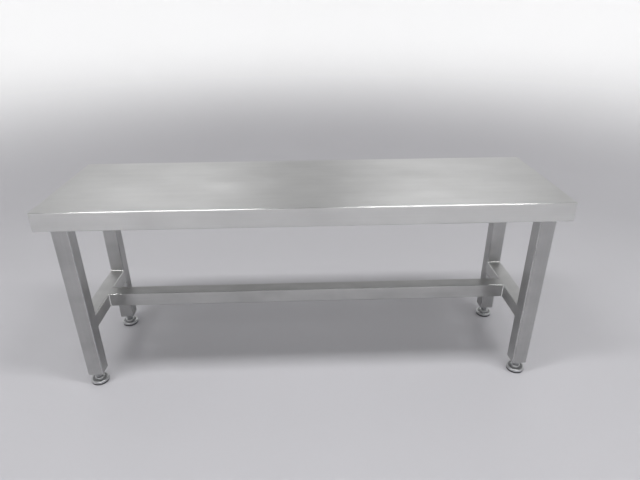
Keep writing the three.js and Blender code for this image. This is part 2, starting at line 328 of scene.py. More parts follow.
def ground_steel(name, bead, flush):
    """Weld metal: bright and crossed with short scratches on a bead, dull where it is flush."""
    shading = Shading(name)
    place = shading.object_coordinates()
    coarse = shading.noise(place, 260.0, 3.0)
    fine = shading.noise(place, 1500.0, 2.0)
    fillet = shading.marked(FILLET)
    tone = shading.spread(coarse, 0.22, 1.0)
    mixed = shading.mixed(shading.tinted(flush, tone), shading.tinted(bead, tone), fillet)
    rough = shading.math("ADD", shading.spread(coarse, 0.16, 0.36), shading.spread(fine, 0.12))
    rough = shading.math("MULTIPLY_ADD", fillet, -0.14, rough)
    normal = shading.bump(fine, 0.03 * MM, 0.6)
    shading.metal(0.5)
    return shading.surface(mixed, rough, normal)


def mill_steel(name, base):
    """Dull rolled steel as it leaves the mill, with faint pickling stains."""
    shading = Shading(name)
    place = shading.object_coordinates()
    stain = shading.noise(place, 22.0, 4.0)
    grit = shading.noise(place, 900.0, 2.0)
    tone = shading.math("ADD", shading.spread(stain, 0.24, 1.0), shading.spread(grit, 0.10))
    rough = shading.math("ADD", shading.spread(stain, 0.18, 0.46), shading.spread(grit, 0.10))
    normal = shading.bump(grit, 0.02 * MM, 0.5)
    shading.metal()
    return shading.surface(shading.tinted(base, tone), rough, normal)


def turned_steel(name, base, roughness):
    """Turned steel with tool marks round it, rougher in its groove and darkened there by painted
    shade.
    """
    shading = Shading(name)
    grain = shading.grain_coordinates()
    place = shading.object_coordinates()
    rings = shading.noise(grain, 1.0, 2.0, (8, 2600, 1))
    spots = shading.noise(place, 160.0, 3.0)
    groove_shade = shading.marked(GROOVE_SHADE)
    tone = shading.math("ADD", shading.spread(rings, 0.3, 1.0), shading.spread(spots, 0.5))
    # Painted shade: the groove's colour is darkened as if shaded in its recess; the rougher finish
    # below is real
    tone = shading.math("MULTIPLY_ADD", groove_shade, -0.42, tone)
    rough = shading.math("ADD", shading.spread(rings, 0.10, roughness), shading.spread(spots, 0.12))
    rough = shading.math("MULTIPLY_ADD", groove_shade, 0.24, rough)
    normal = shading.bump(rings, 0.015 * MM, 0.6)
    shading.metal(0.35)
    return shading.surface(shading.tinted(base, tone), rough, normal)


def moulded_rubber(name, base):
    """Matt black rubber, a little dusty."""
    shading = Shading(name)
    place = shading.object_coordinates()
    dust = shading.window(shading.noise(place, 90.0, 4.0), 0.45, 0.75)
    grit = shading.noise(place, 1400.0, 2.0)
    tone = shading.math("MULTIPLY_ADD", dust, 0.5, 1.0)
    rough = shading.spread(grit, 0.16, 0.74)
    normal = shading.bump(grit, 0.05 * MM, 0.6)
    return shading.surface(shading.tinted(base, tone), rough, normal)


def painted_floor(name, stage):
    """Pale sealed floor with a faint mottle and a low sheen, paler where it sweeps up, and glowing
    there with painted light.
    """
    shading = Shading(name)
    place = shading.object_coordinates()
    mottle = shading.noise(place, 2.2, 4.0)
    fleck = shading.noise(place, 120.0, 2.0)
    tone = shading.math("ADD", shading.spread(mottle, 0.04, 1.0), shading.spread(fleck, 0.02))
    height = shading.window(shading.along(place, "Z"), 0.0, stage.sweep)
    mixed = shading.mixed(shading.tinted(stage.floor, tone), shading.tinted(stage.wall, tone), height)
    rough = shading.spread(mottle, 0.10, 0.42)
    normal = shading.bump(mottle, 0.5 * MM, 0.3)
    # Painted light: the wall glows, more strongly towards the back, though it is no lamp
    back = shading.window(shading.along(place, "Y"), -stage.radius / 4, stage.radius)
    glow = shading.math("MULTIPLY_ADD", back, stage.wall_light * (1 - stage.front_share),
                        stage.wall_light * stage.front_share)
    shading.shader.inputs["Emission Color"].default_value = (*stage.wall, 1)
    shading.link(shading.math("MULTIPLY", height, glow), shading.shader.inputs["Emission Strength"])
    return shading.surface(mixed, rough, normal)


def make_finishes(colours):
    """Every material of the table."""
    # The sheet's lighter and the tube's darker colour are painted light and painted shade on one
    # steel
    brushed_steel("brushed_sheet", colours.sheet, 0.37)
    brushed_steel("brushed_tube", colours.tube, 0.34, streaks=1.6, clouds=0.6)
    mill_steel("mill_section", colours.section)
    mill_steel("plated_fastener", colours.plated)
    turned_steel("turned_bright", colours.bright, 0.30)
    turned_steel("turned_plated", colours.plated, 0.30)
    ground_steel("ground_weld", colours.weld, colours.tube)
    moulded_rubber("moulded_rubber", colours.rubber)


def finish(name):
    return bpy.data.materials[name]


# ---------------------------------------------------------------------------------------------
# Mesh tools
# ---------------------------------------------------------------------------------------------


def is_vert(part):
    return isinstance(part, bmesh.types.BMVert)


def is_edge(part):
    return isinstance(part, bmesh.types.BMEdge)


def is_face(part):
    return isinstance(part, bmesh.types.BMFace)


def bevel(bm, edges, radius, segments):
    return bmesh.ops.bevel(bm, geom=edges, offset=radius, offset_type="OFFSET",
                           segments=segments, profile=0.5, affect="EDGES", material=-1)


def block(low, high):
    """A bmesh with one box from the low corner to the high one."""
    bm = bmesh.new()
    middle = (low + high) / 2
    bmesh.ops.create_cube(bm, size=1, matrix=Matrix.LocRotScale(middle, None, high - low))
    return bm


def open_faces(bm, facing):
    """Takes out the faces that look along facing or against it."""
    found = [face for face in bm.faces if abs(face.normal.dot(facing)) > 0.99]
    bmesh.ops.delete(bm, geom=found, context="FACES_ONLY")


def chain(bm, points):
    """Vertices through the points, joined by edges. Returns both."""
    verts = [bm.verts.new(point) for point in points]
    return verts + [bm.edges.new(pair) for pair in zip(verts, verts[1:])]


def draw_out(bm, edges, offset):
    made = bmesh.ops.extrude_edge_only(bm, edges=edges)["geom"]
    bmesh.ops.translate(bm, vec=offset, verts=[part for part in made if is_vert(part)])


def circle(bm, centre, radius, segments=32):
    """A loop of edges round centre, in a level plane."""
    made = bmesh.ops.create_circle(bm, cap_ends=False, radius=radius, segments=segments,
                                   matrix=Matrix.Translation(centre))
    return sorted({edge for vert in made["verts"] for edge in vert.link_edges},
                  key=lambda edge: edge.index)


def pierce(bm, face, centres, radius):
    """Makes round holes through a level face. Returns each hole's loop of edges."""
    edges = list(face.edges)
    level = face.calc_center_median().z
    bmesh.ops.delete(bm, geom=[face], context="FACES_ONLY")
    loops = [circle(bm, Vector((x, y, level)), radius) for x, y in centres]
    around = edges + [edge for loop in loops for edge in loop]
    bmesh.ops.triangle_fill(bm, edges=around, use_beauty=True, use_dissolve=False)
    return loops


def thicken(bm, wall):
    """Gives an open shell its wall, on the back of its faces."""
    bm.normal_update()
    bmesh.ops.solidify(bm, geom=bm.faces[:], thickness=wall)


def face_outwards(bm):
    """Turns every face of a closed shape outwards."""
    bmesh.ops.recalc_face_normals(bm, faces=bm.faces[:])
    if bm.calc_volume(signed=True) < 0:
        bmesh.ops.reverse_faces(bm, faces=bm.faces[:])


def lay_grain(bm, along, spare=Z_AXIS):
    """Writes the grain's map: first the way along the grain, then the way across it."""
    layer = bm.loops.layers.uv.get(GRAIN) or bm.loops.layers.uv.new(GRAIN)
    bm.normal_update()
    for face in bm.faces:
        way = spare if abs(face.normal.dot(along)) > 0.7 else along
        across = way.cross(face.normal)
        if across.length < 1e-6:
            across = X_AXIS if abs(way.x) < 0.5 else Y_AXIS
        across.normalize()
        for loop in face.loops:
            loop[layer].uv = (loop.vert.co.dot(way), loop.vert.co.dot(across))


def lay_turned_grain(bm, centre):
    """The same for a turned piece: round the axis, then along the profile."""
    layer = bm.loops.layers.uv.get(GRAIN) or bm.loops.layers.uv.new(GRAIN)
    bm.normal_update()
    for face in bm.faces:
        middle = face.calc_center_median() - centre
        start = math.atan2(middle.y, middle.x)
        flat = abs(face.normal.z) > 0.5
        for loop in face.loops:
            arm = loop.vert.co - centre
            radius = math.hypot(arm.x, arm.y)
            turn = math.atan2(arm.y, arm.x) - start if radius > 1e-6 else 0.0
            turn = (turn + math.pi) % FULL_TURN - math.pi
            across = radius if flat else arm.z
            loop[layer].uv = ((start + turn) * max(radius, 1e-4), across)


def mark_places(bm, name, share_at):
    """Writes a share, 0 to 1, at every vertex, for a material to read."""
    layer = bm.verts.layers.float.new(name)
    for vert in bm.verts:
        vert[layer] = share_at(vert.co)


def mark_bends(bm):
    """Marks an open shell's rounded bends, which wear keeps smoother than its flats and a painted
    highlight keeps lighter.
    """
    bm.normal_update()
    layer = bm.verts.layers.float.new(BEND)
    for vert in bm.verts:
        flatness = max(abs(part) for part in vert.normal)
        vert[layer] = min(1.0, (1 - flatness) / 0.12)


def piece(bm, name, material, body, replaced=(), sharp_angle=35):
    """Closes a bmesh into a piece that rides on a body and stands for CAD nodes."""
    mesh = bpy.data.meshes.new(name)
    bm.to_mesh(mesh)
    bm.free()
    mesh.shade_smooth()
    mesh.set_sharp_from_angle(angle=math.radians(sharp_angle))
    mesh.materials.append(material)
    made = bpy.data.objects.new(name, mesh)
    bpy.context.scene.collection.objects.link(made)
    weighted = made.modifiers.new("even_shading", "WEIGHTED_NORMAL")
    weighted.keep_sharp = True
    weighted.weight = 100
    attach(made, body)
    if replaced:
        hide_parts(*replaced)
    return made


def keep_node(name, material):
    """A CAD node whose shape is right gets its finish."""
    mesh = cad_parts[name].data
    mesh.materials.clear()
    mesh.materials.append(material)


def centre_of(node):
    low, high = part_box(node)
    return (low + high) / 2


def box_and_axis(node):
    """A round node's lowest and highest corners, and the point of its axis at the floor."""
    low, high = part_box(node)
    centre = centre_of(node)
    centre.z = 0
    return low, high, centre


# ---------------------------------------------------------------------------------------------
# The top and what stiffens it
# ---------------------------------------------------------------------------------------------


def folded_top(top):
    """The top's sheet: folded down on four sides and in again under them, corners ground."""
    low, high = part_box("table_top")
    bm = block(low, high)
    bevel(bm, bm.edges[:], top.fold, 8)
    underside = max((face for face in bm.faces if face.normal.z < -0.99),
                    key=lambda face: face.calc_area())
    bmesh.ops.inset_region(bm, faces=[underside], thickness=top.lip - top.fold,
                           use_boundary=True, use_even_offset=True)
    bmesh.ops.delete(bm, geom=[underside], context="FACES_ONLY")
    mark_bends(bm)
    thicken(bm, top.sheet)
    lay_grain(bm, X_AXIS)
    piece(bm, "folded_top", finish("brushed_sheet"), "frame", ["table_top"])


def hat_section(node, run, sections, holes=(), hole_radius=0.0):
    """A folded hat section, crown down, along the X axis (run 0) or the Y axis (run 1)."""
    low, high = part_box(node)
    along = (X_AXIS, Y_AXIS)[run]
    across = (Y_AXIS, X_AXIS)[run]
    middle = centre_of(node)
    half = (high - low)[1 - run] / 2
    crown = half - sections.flange
    flange_bottom = high.z - sections.wall
    outline = [(-half, flange_bottom), (-crown, flange_bottom), (-crown, low.z), (crown, low.z),
               (crown, flange_bottom), (half, flange_bottom)]
    start = Vector((middle.x, middle.y, 0)) - along * (high - low)[run] / 2
    bm = bmesh.new()
    drawn = chain(bm, [start + across * offset + Z_AXIS * height for offset, height in outline])
    draw_out(bm, [part for part in drawn if is_edge(part)], along * (high - low)[run])
    bmesh.ops.recalc_face_normals(bm, faces=bm.faces[:])
    if max(bm.faces, key=lambda face: face.calc_center_median().z).normal.z > 0:
        bmesh.ops.reverse_faces(bm, faces=bm.faces[:])
    bends = [edge for edge in bm.edges if not edge.is_boundary]
    crown_bends = [edge for edge in bends if edge.verts[0].co.z < middle.z]
    flange_bends = [edge for edge in bends if edge.verts[0].co.z > middle.z]
    bevel(bm, crown_bends, sections.bend, 5)
    bevel(bm, flange_bends, sections.bend - sections.wall, 4)
    spot_welds(bm, run, flange_bottom, sections)
    if holes:
        crown_face = max((face for face in bm.faces
                          if face.calc_center_median().z < low.z + SAME_LEVEL),
                         key=lambda face: face.calc_area())
        pierce(bm, crown_face, holes, hole_radius)
    thicken(bm, sections.wall)
    lay_grain(bm, along)
    piece(bm, node + "_bent", finish("mill_section"), "frame",
          [node])


def spot_welds(bm, run, level, sections):
    """Shallow round marks along both flanges, where they are welded to the sheet."""
    flanges = [face for face in bm.faces
               if abs(face.calc_center_median().z - level) < SAME_LEVEL]
    dent = 0.25 * MM
    for flange in flanges:
        spans = [max(vert.co[axis] for vert in flange.verts) -
                 min(vert.co[axis] for vert in flange.verts) for axis in (0, 1)]
        middle = flange.calc_center_median()
        count = max(2, round(spans[run] / sections.spot_pitch))
        centres = []
        for index in range(count):
            place = [middle.x, middle.y]
            place[run] += spans[run] * ((index + 0.5) / count - 0.5)
            centres.append(place)
        for loop in pierce(bm, flange, centres, sections.spot_radius):
            spot = bmesh.ops.contextual_create(bm, geom=loop)["faces"][0]
            if spot.normal.z > 0:
                spot.normal_flip()
            bmesh.ops.inset_region(bm, faces=[spot], thickness=sections.spot_radius * 0.3,
                                   depth=-dent)


# ---------------------------------------------------------------------------------------------
# The end frames, the stretcher and their welds
# ---------------------------------------------------------------------------------------------


def square_tube(node, run, tubes, holes=(), hole_radius=0.0):
    """A drawn tube that fills the node's box, open at both ends, along axis number run."""
    low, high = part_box(node)
    along = (X_AXIS, Y_AXIS, Z_AXIS)[run]
    bm = block(low, high)
    open_faces(bm, along)
    bevel(bm, [edge for edge in bm.edges if not edge.is_boundary], tubes.corner, 6)
    if holes:
        levels = [face for face in bm.faces if abs(face.normal.z) > 0.999]
        for face in levels:
            pierce(bm, face, holes, hole_radius)
        bmesh.ops.recalc_face_normals(bm, faces=bm.faces[:])
    mark_bends(bm)
    thicken(bm, tubes.wall)
    lay_grain(bm, along, X_AXIS if run == 2 else Z_AXIS)
    piece(bm, node + "_tube", finish("brushed_tube"), "frame", [node])


def outline_point(turn, half_wide, half_high, corner):
    """Where a ray from the middle of a rounded rectangle leaves it, and which way it faces."""
    ray = Vector((math.cos(turn), math.sin(turn)))
    straight = min(half_wide / max(abs(ray.x), 1e-9), half_high / max(abs(ray.y), 1e-9))
    point = ray * straight
    inner = Vector((half_wide - corner, half_high - corner))
    if abs(point.x) > inner.x and abs(point.y) > inner.y:
        centre = Vector((math.copysign(inner.x, ray.x), math.copysign(inner.y, ray.y)))
        reach = ray.dot(centre)
        along = reach + math.sqrt(max(0.0, reach * reach - centre.length_squared + corner ** 2))
        point = ray * along
        return point, (point - centre).normalized()
    if half_wide / max(abs(ray.x), 1e-9) < half_high / max(abs(ray.y), 1e-9):
        return point, Vector((math.copysign(1, ray.x), 0))
    return point, Vector((0, math.copysign(1, ray.y)))


def weld_ring(name, node, run, sign, fillet_side, tubes, welds):
    """The weld round one end of a tube: a rippled fillet where the tube stands on the flat of
    its neighbour, ground flush where the two tubes' sides are level.

    fillet_side tells, for a direction across the tube, how much of a fillet the weld is. The
    weld's closed section is spun as flat rings first, then each point goes to its place.
    """
    low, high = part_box(node)
    middle = centre_of(node)
    half = (high - low) / 2
    inward = (X_AXIS, Y_AXIS)[run] * -sign
    wide_axis = (Y_AXIS, X_AXIS)[run]
    end = middle.copy()
    end[run] += sign * half[run]
    gap = 0.3 * MM
    host_face = end - inward * gap
    half_wide = half[1 - run]
    half_high = half.z
    depth = 1.0 * MM
    steps_over = 5
    stations = 4 * round((half_wide + half_high) * 4 / welds.ripple)

    def section(turn):
        flat, facing = outline_point(turn, half_wide, half_high, tubes.corner)
        place = host_face + wide_axis * flat.x + Z_AXIS * flat.y
        out = wide_axis * facing.x + Z_AXIS * facing.y
        fillet = fillet_side(facing)
        length_round = turn * (half_wide + half_high) / 2
        ripple = 1 - welds.ripple_depth * abs(math.sin(length_round * 4 / welds.ripple))
        wander = 1 + 0.10 * math.sin(7 * turn + 3 * middle.x) + 0.06 * math.sin(13 * turn)
        bead = welds.bead * ripple * wander
        rise = bead * fillet
        back = (tubes.corner + welds.seam * 0.25) * (1 - fillet)
        forth = bead * fillet + welds.seam * 0.5 * (1 - fillet)
        host_foot = place + out * rise - inward * back
        tube_foot = place + inward * (forth + gap)
        sunk = (out * (1 - fillet) + inward * fillet) * depth
        bulge = out * welds.seam_proud + (out + inward) * bead * 0.16 * fillet
        over = [host_foot.lerp(tube_foot, step / steps_over) +
                bulge * math.sin(math.pi * step / steps_over) for step in range(steps_over + 1)]
        return fillet, [*over, tube_foot - out * depth, place - out * depth - inward * depth,
                        host_foot - sunk]

    bm = bmesh.new()
    layer = bm.verts.layers.float.new(FILLET)
    rows = len(section(0.0)[1])
    inner = 1.0
    row_step = 0.01
    drawn = chain(bm, [end + wide_axis * (inner + row * row_step) for row in range(rows)])
    drawn.append(bm.edges.new((drawn[rows - 1], drawn[0])))
    bmesh.ops.spin(bm, geom=drawn, cent=end, axis=inward, angle=FULL_TURN, steps=stations,
                   use_merge=True, use_duplicate=False)
    bmesh.ops.remove_doubles(bm, verts=bm.verts[:], dist=row_step / 10)
    for vert in bm.verts:
        arm = vert.co - end
        vert[layer], points = section(math.atan2(arm.z, arm.dot(wide_axis)))
        vert.co = points[round((arm.length - inner) / row_step)]
    face_outwards(bm)
    lay_grain(bm, inward)
    piece(bm, name, finish("ground_weld"), "frame")


# ---------------------------------------------------------------------------------------------
# Turned pieces and hexagons
# ---------------------------------------------------------------------------------------------


def arc(centre, radius, start, stop, steps):
    """Points on a round stretch of a profile. Angles in degrees, from straight out to up."""
    points = []
    for step in range(steps + 1):
        angle = math.radians(start + (stop - start) * step / steps)
        points.append((centre[0] + radius * math.cos(angle), centre[1] + radius * math.sin(angle)))
    return points


def turned(centre, profile, steps):
    """Spins a profile of (radius, height) points, in millimetres, round the foot's axis."""
    bm = bmesh.new()
    points = [Vector((centre.x + radius * MM, centre.y, height * MM)) for radius, height in profile]
    drawn = chain(bm, points)
    bmesh.ops.spin(bm, geom=drawn, cent=centre, axis=Z_AXIS, angle=FULL_TURN, steps=steps,
                   use_merge=True, use_duplicate=False)
    bmesh.ops.remove_doubles(bm, verts=bm.verts[:], dist=1e-6)
    face_outwards(bm)
    return bm


def draw_on(bm, centre, cap, ring):
    """Draws the end face on to a new ring. ring gives (radius, height) for a turn."""
    made = bmesh.ops.extrude_face_region(bm, geom=[cap])["geom"]
    bmesh.ops.delete(bm, geom=[cap], context="FACES_ONLY")
    cap = next(part for part in made if is_face(part))
    for vert in cap.verts:
        turn = math.atan2(vert.co.y - centre.y, vert.co.x - centre.x)
        radius, height = ring(turn)
        vert.co = centre + Vector((radius * math.cos(turn), radius * math.sin(turn), 0))
        vert.co.z = height
    return cap


def draw_round(bm, centre, cap, points):
    """Draws the end face on through round sections, given as (radius, height) points."""
    for radius, height in points:
        cap = draw_on(bm, centre, cap, lambda turn, r=radius, h=height: (r, h))
    return cap


def hex_radius(turn, flats):
    """Distance from the middle of a hexagon to its side, at a turn."""
    sixth = FULL_TURN / 6
    return flats / 2 / math.cos((turn % sixth) - sixth / 2)


def draw_hexagon(bm, centre, cap, flats, start, stop):
    """Draws the end face on through a hexagon whose two ends are chamfered at 30 degrees."""
    slope = math.tan(math.radians(30))
    face_radius = flats / 2 * 0.95
    way = math.copysign(1, stop - start)

    def near(turn):
        return hex_radius(turn, flats), start + way * (hex_radius(turn, flats) - face_radius) * slope

    def far(turn):
        return hex_radius(turn, flats), stop - way * (hex_radius(turn, flats) - face_radius) * slope

    cap = draw_round(bm, centre, cap, [(face_radius, start)])
    cap = draw_on(bm, centre, cap, near)
    cap = draw_on(bm, centre, cap, far)
    return draw_round(bm, centre, cap, [(face_radius, stop)])


def threaded_rod(centre, radius, depth, pitch, bottom, top, steps):
    """A rod with a cut thread and flat ends. Returns it with its lower and upper end faces."""
    bm = bmesh.new()
    root = radius - depth
    start = bottom - 2 * pitch
    section = [(root, 0.0), (radius, 0.44), (radius, 0.56), (root, 1.0)]
    points = [Vector((centre.x + r, centre.y, start + share * pitch)) for r, share in section]
    turns = math.ceil((top - bottom) / pitch) + 3
    bmesh.ops.spin(bm, geom=chain(bm, points), cent=centre, axis=Z_AXIS, angle=FULL_TURN * turns,
                   steps=steps * turns, dvec=Z_AXIS * (pitch / steps), use_merge=False,
                   use_duplicate=False)
    bmesh.ops.remove_doubles(bm, verts=bm.verts[:], dist=1e-6)
    caps = []
    for height, way in ((bottom, -1), (top, 1)):
        cut = bmesh.ops.bisect_plane(bm, geom=bm.verts[:] + bm.edges[:] + bm.faces[:],
                                     dist=1e-7, plane_co=Vector((0, 0, height)),
                                     plane_no=Z_AXIS * way, clear_outer=True)["geom_cut"]
        edges = [part for part in cut if is_edge(part)]
        caps.append(bmesh.ops.contextual_create(bm, geom=edges)["faces"][0])
    return bm, caps[0], caps[1]


# ---------------------------------------------------------------------------------------------
# Fasteners and feet
# ---------------------------------------------------------------------------------------------


def frame_bolt(corner, feet):
    """The M8 bolt that holds the top on the end frame, head down."""
    node = f"frame_bolt_{corner}"
    low, high, centre = box_and_axis(node)
    radius = 4 * MM
    thread_depth = 0.7 * MM
    pitch = 1.25 * MM
    flats = 13 * MM
    head_top = low.z + 5.3 * MM
    shank_top = head_top + 9.3 * MM
    chamfer = 0.8 * MM
    bm, under, tip = threaded_rod(centre, radius, thread_depth, pitch, shank_top + thread_depth,
                                  high.z - chamfer, feet.round_steps // 2)
    draw_round(bm, centre, tip, [(radius - chamfer - 0.1 * MM, high.z)])
    under = draw_round(bm, centre, under, [(radius, shank_top), (radius, head_top + 0.2 * MM)])
    draw_hexagon(bm, centre, under, flats, head_top, low.z)
    face_outwards(bm)
    lay_turned_grain(bm, centre)
    piece(bm, f"bolt_{corner}", finish("plated_fastener"), "frame", [node])


def washer(corner, feet):
    """The flat washer under a bolt's head, with its outer edges eased."""
    node = f"washer_{corner}"
    low, high, centre = box_and_axis(node)
    outer = (high.x - low.x) / 2 / MM
    bottom, top = low.z / MM, high.z / MM
    edge = 0.25
    bore = 4.5
    profile = [(bore, bottom), (outer - edge, bottom), (outer, bottom + edge),
               (outer, top - edge), (outer - edge, top), (bore, top), (bore, bottom)]
    bm = turned(centre, profile, feet.round_steps)
    lay_turned_grain(bm, centre)
    piece(bm, f"flat_washer_{corner}", finish("plated_fastener"), "frame", [node])


def leg_plug(corner):
    """The bored block in the leg's lower end, with its corners rounded."""
    node = f"leg_plug_{corner}"
    low, high, centre = box_and_axis(node)
    bore = 6.4 * MM
    corner_radius = 1.5 * MM
    bm = block(low, high)
    upright = [edge for edge in bm.edges
               if abs(edge.verts[0].co.z - edge.verts[1].co.z) > SAME_LEVEL]
    bevel(bm, upright, corner_radius, 4)
    caps = [face for face in bm.faces if abs(face.normal.z) > 0.999]
    loops = [pierce(bm, cap, [(centre.x, centre.y)], bore)[0] for cap in caps]
    bmesh.ops.bridge_loops(bm, edges=loops[0] + loops[1])
    face_outwards(bm)
    lay_grain(bm, Z_AXIS, X_AXIS)
    piece(bm, f"threaded_plug_{corner}", finish("mill_section"), "frame", [node])


def foot_cup(corner, feet):
    """The turned steel foot: a rounded rim, a groove, and a hub round the stud's neck.

    The profile is in millimetres: how far out, and how high.
    """
    node = f"foot_cup_{corner}"
    low, high, centre = box_and_axis(node)
    rim = (high.x - low.x) / 2 / MM
    bottom = low.z / MM + PAD_SHOWS
    top = high.z / MM
    rim_top = 11.3
    groove = 10.2
    groove_rim = rim - 4.2
    hub = 12.3
    wall = rim - 2
    neck_hole = 5.4
    flange_room = 8.4
    roof = 9.3
    floor = 7.0
    profile = [
        (wall, bottom),
        *arc((rim - 0.7, bottom + 0.7), 0.7, -90, 0, 4),
        *arc((rim - 2.2, rim_top - 2.2), 2.2, 0, 90, 8),
        *arc((rim - 3.6, rim_top - 0.4), 0.4, 90, 140, 3),
        *arc((rim - 4.9, groove + 0.5), 0.5, 310, 270, 3),
        *arc((hub + 1.4, groove + 0.9), 0.9, 270, 190, 5),
        *arc((hub - 2.6, top - 2.6), 2.6, 5, 90, 8),
        (neck_hole + 0.4, top),
        (neck_hole, top - 0.4),
        (neck_hole, roof),
        (flange_room, roof),
        (flange_room, floor),
        (wall, floor),
        (wall, bottom),
    ]
    bm = turned(centre, profile, feet.round_steps)
    lay_turned_grain(bm, centre)

    def in_groove(place):
        radius = math.hypot(place.x - centre.x, place.y - centre.y) / MM
        return float(hub < radius < groove_rim)

    # The groove is marked for painted shade and a rougher finish
    mark_places(bm, GROOVE_SHADE, in_groove)
    piece(bm, f"swivel_cup_{corner}", finish("turned_bright"), f"foot_base_{corner}",
          [node], 50)


def foot_pad(corner, feet):
    """The rubber under the cup, with round treads in its sole. The profile is in millimetres."""
    node = f"foot_pad_{corner}"
    low, high, centre = box_and_axis(node)
    flange = (high.x - low.x) / 2 / MM
    flange_top = 3.0 + PAD_SHOWS
    spigot = 20.2
    top = high.z / MM
    tread = 0.6
    ease = 0.4
    profile = [
        (0, tread),
        (5, tread),
        (5.6, 0),
        (11, 0),
        (11.6, tread),
        (14, tread),
        (14.6, 0),
        *arc((flange - 1.2, 1.2), 1.2, -90, 0, 5),
        *arc((flange - ease, flange_top - ease), ease, 0, 90, 3),
        (spigot, flange_top),
        (spigot, top),
        (0, top),
    ]
    bm = turned(centre, profile, feet.round_steps)
    lay_turned_grain(bm, centre)
    piece(bm, f"rubber_pad_{corner}", finish("moulded_rubber"), f"foot_base_{corner}",
          [node], 50)


def foot_stud(corner, feet):
    """The levelling stud: thread, hexagon, neck, and the flange that turns inside the cup."""
    node = f"foot_stud_{corner}"
    low, high, centre = box_and_axis(node)
    radius = 6 * MM
    neck = 5 * MM
    hex_bottom = 17.3 * MM
    hex_top = hex_bottom + feet.hex_height
    chamfer = 1.0 * MM
    bm, under, end = threaded_rod(centre, radius, feet.thread_depth, feet.pitch,
                                  hex_top + 2 * MM, high.z - chamfer, feet.round_steps // 2)
    draw_round(bm, centre, end, [(radius - feet.thread_depth - 0.2 * MM, high.z)])
    under = draw_round(bm, centre, under, [(neck, hex_top + 1.2 * MM), (neck, hex_top)])
    under = draw_hexagon(bm, centre, under, feet.hex_flats, hex_top, hex_bottom)
    flange = 8 * MM
    flange_top = 9 * MM
    ease = 0.3 * MM
    draw_round(bm, centre, under, [
        (neck, hex_bottom), (neck, flange_top), (flange - ease, flange_top),
        (flange, flange_top - ease), (flange, low.z + ease), (flange - ease, low.z)])
    face_outwards(bm)
    lay_turned_grain(bm, centre)
    piece(bm, f"levelling_stud_{corner}", finish("turned_plated"), f"foot_screw_{corner}",
          [node])


# ---------------------------------------------------------------------------------------------
# Stage
# ---------------------------------------------------------------------------------------------


def floor_and_wall(stage):
    """A round pale floor that sweeps up into a wall, far enough away for every view."""
    foot = stage.radius - stage.sweep
    profile = [(0, 0), (foot, 0)]
    profile += arc((foot, stage.sweep), stage.sweep, -90, 0, 12)[1:]
    profile.append((stage.radius, stage.wall_height))
    bm = bmesh.new()
    drawn = chain(bm, [Vector((radius, 0, height)) for radius, height in profile])
    bmesh.ops.spin(bm, geom=drawn, cent=Vector((0, 0, 0)), axis=Z_AXIS, angle=FULL_TURN,
                   steps=96, use_merge=True, use_duplicate=False)
    bmesh.ops.remove_doubles(bm, verts=bm.verts[:], dist=1e-6)
    bmesh.ops.recalc_face_normals(bm, faces=bm.faces[:])
    if bm.faces[:][0].normal.z < 0:
        bmesh.ops.reverse_faces(bm, faces=bm.faces[:])
    mesh = bpy.data.meshes.new("studio_floor")
    bm.to_mesh(mesh)
    bm.free()
    mesh.shade_smooth()
    mesh.materials.append(painted_floor("pale_floor", stage))
    floor = bpy.data.objects.new("studio_floor", mesh)
    bpy.context.scene.collection.objects.link(floor)


def strip_lamp(name, place, target, size, power):
    data = bpy.data.lights.new(name, "AREA")
    data.shape = "RECTANGLE"
    data.size, data.size_y = size
    data.energy = power
    lamp = bpy.data.objects.new(name, data)
    lamp.location = place
    lamp.rotation_euler = (target - place).to_track_quat("-Z", "Y").to_euler()
    bpy.context.scene.collection.objects.link(lamp)


def soft_sky(stage):
    """A neutral sky, brightest low down at the back, as in a room with one pale wall."""
    world = bpy.data.worlds.new("studio_light")
    world.use_nodes = True
    nodes = world.node_tree.nodes
    links = world.node_tree.links
    direction = nodes.new("ShaderNodeTexCoord")
    split = nodes.new("ShaderNodeSeparateXYZ")
    links.new(direction.outputs["Generated"], split.inputs["Vector"])

    def fade(axis, low, high, value_low, value_high):
        node = nodes.new("ShaderNodeMapRange")
        node.interpolation_type = "SMOOTHSTEP"
        node.inputs["From Min"].default_value = low
        node.inputs["From Max"].default_value = high
        node.inputs["To Min"].default_value = value_low
        node.inputs["To Max"].default_value = value_high
        links.new(split.outputs[axis], node.inputs["Value"])
        return node.outputs["Result"]

    strength = nodes.new("ShaderNodeMath")
    strength.operation = "MULTIPLY"
    links.new(fade("Z", 0.45, 0.75, stage.side_light, stage.top_light), strength.inputs[0])
    links.new(fade("Y", -0.7, 0.95, stage.front_share, 1.0), strength.inputs[1])
    links.new(strength.outputs["Value"], nodes["Background"].inputs["Strength"])
    nodes["Background"].inputs["Color"].default_value = (1, 1, 1, 1)
    bpy.context.scene.world = world


def light_the_stage(stage):
    """Two strip lamps over the table's ends, and a weak one in front for the bends' gleam."""
    soft_sky(stage)
    for side, name in ((-1, "lamp_left"), (1, "lamp_right")):
        place = Vector((side * 0.85, -0.6, 2.4))
        below = Vector((place.x, place.y, 0))
        strip_lamp(name, place, below, (1.1, 0.3), stage.lamp)
    place = Vector((0.3, -1.7, 2.2))
    stretcher = Vector((place.x, 0, 0.2))
    strip_lamp("lamp_front", place, stretcher, (1.5, 0.12), stage.front_lamp)
    bpy.context.scene.view_settings.view_transform = "Standard"


